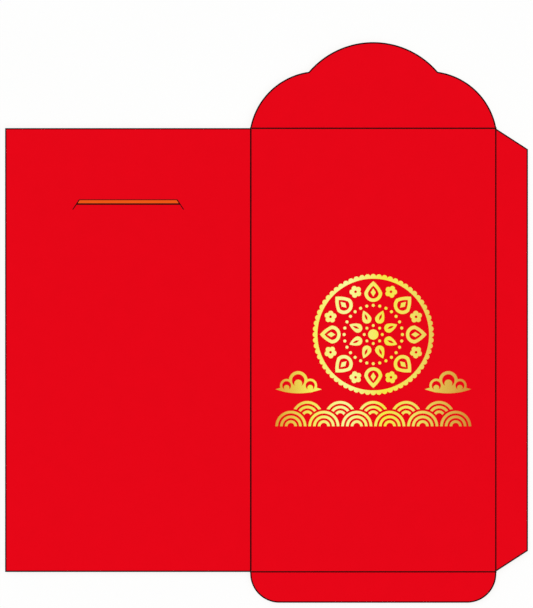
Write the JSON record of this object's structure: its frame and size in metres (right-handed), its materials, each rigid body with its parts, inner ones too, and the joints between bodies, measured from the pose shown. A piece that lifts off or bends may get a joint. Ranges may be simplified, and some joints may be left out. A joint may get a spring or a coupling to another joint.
{
  "type": "red gift envelope blank",
  "caption": "Flat die-cut red card envelope, print side up, with creased panels and flaps that fold shut, a tuck slot for the closing flap and stamped gold foil on the front.",
  "frame": {"origin": "centre of the front panel's underside, on the surface that the flat blank lies on", "axes": "+X to the right of the front panel, +Y towards the top flap, +Z out of the printed face"},
  "size_m": [0.192, 0.2059, 0.0003],
  "materials": {
    "red_card": "smooth matt print",
    "creased_card": "pressed crease",
    "orange_print": "smooth matt print",
    "gold_foil": "hot-stamped foil"
  },
  "bodies": {
    "front_panel": {"front_panel": "red_card", "left_crease": "creased_card", "right_crease": "creased_card", "top_crease": "creased_card", "bottom_crease": "creased_card", "foil_core": "gold_foil", "foil_inner_petals": "gold_foil", "foil_pearls": "gold_foil", "foil_outer_petals": "gold_foil", "foil_blossoms": "gold_foil", "foil_rim": "gold_foil", "foil_waves": "gold_foil", "foil_clouds": "gold_foil"},
    "back_panel": {"back_panel": "red_card"},
    "seam_flap": {"seam_flap": "red_card"},
    "top_flap": {"top_flap": "red_card"},
    "bottom_flap": {"bottom_flap": "red_card"},
    "slot_lip": {"slot_lip": "red_card", "slot_band": "orange_print"}
  },
  "joints": [
    {"name": "back_panel_fold", "type": "hinge", "parent": "front_panel", "child": "back_panel", "pos_m": [-0.045, 0, -0.00023], "axis": [0, -1, 0], "range_deg": [0, 179.99], "deforming": ["left_crease"]},
    {"name": "seam_flap_fold", "type": "hinge", "parent": "front_panel", "child": "seam_flap", "pos_m": [0.045, 0, -0.00004], "axis": [0, 1, 0], "range_deg": [0, 179.99], "deforming": ["right_crease"]},
    {"name": "top_flap_fold", "type": "hinge", "parent": "front_panel", "child": "top_flap", "pos_m": [0, 0.0815, -0.00042], "axis": [-1, 0, 0], "range_deg": [0, 179.99], "deforming": ["top_crease"]},
    {"name": "bottom_flap_fold", "type": "hinge", "parent": "front_panel", "child": "bottom_flap", "pos_m": [0, -0.0815, -0.00042], "axis": [1, 0, 0], "range_deg": [0, 179.99], "deforming": ["bottom_crease"]},
    {"name": "slot_lip_lift", "type": "hinge", "parent": "back_panel", "child": "slot_lip", "pos_m": [-0.09, 0.0516, 0.0003], "axis": [-1, 0, 0], "range_deg": [-40, 0]}
  ]
}
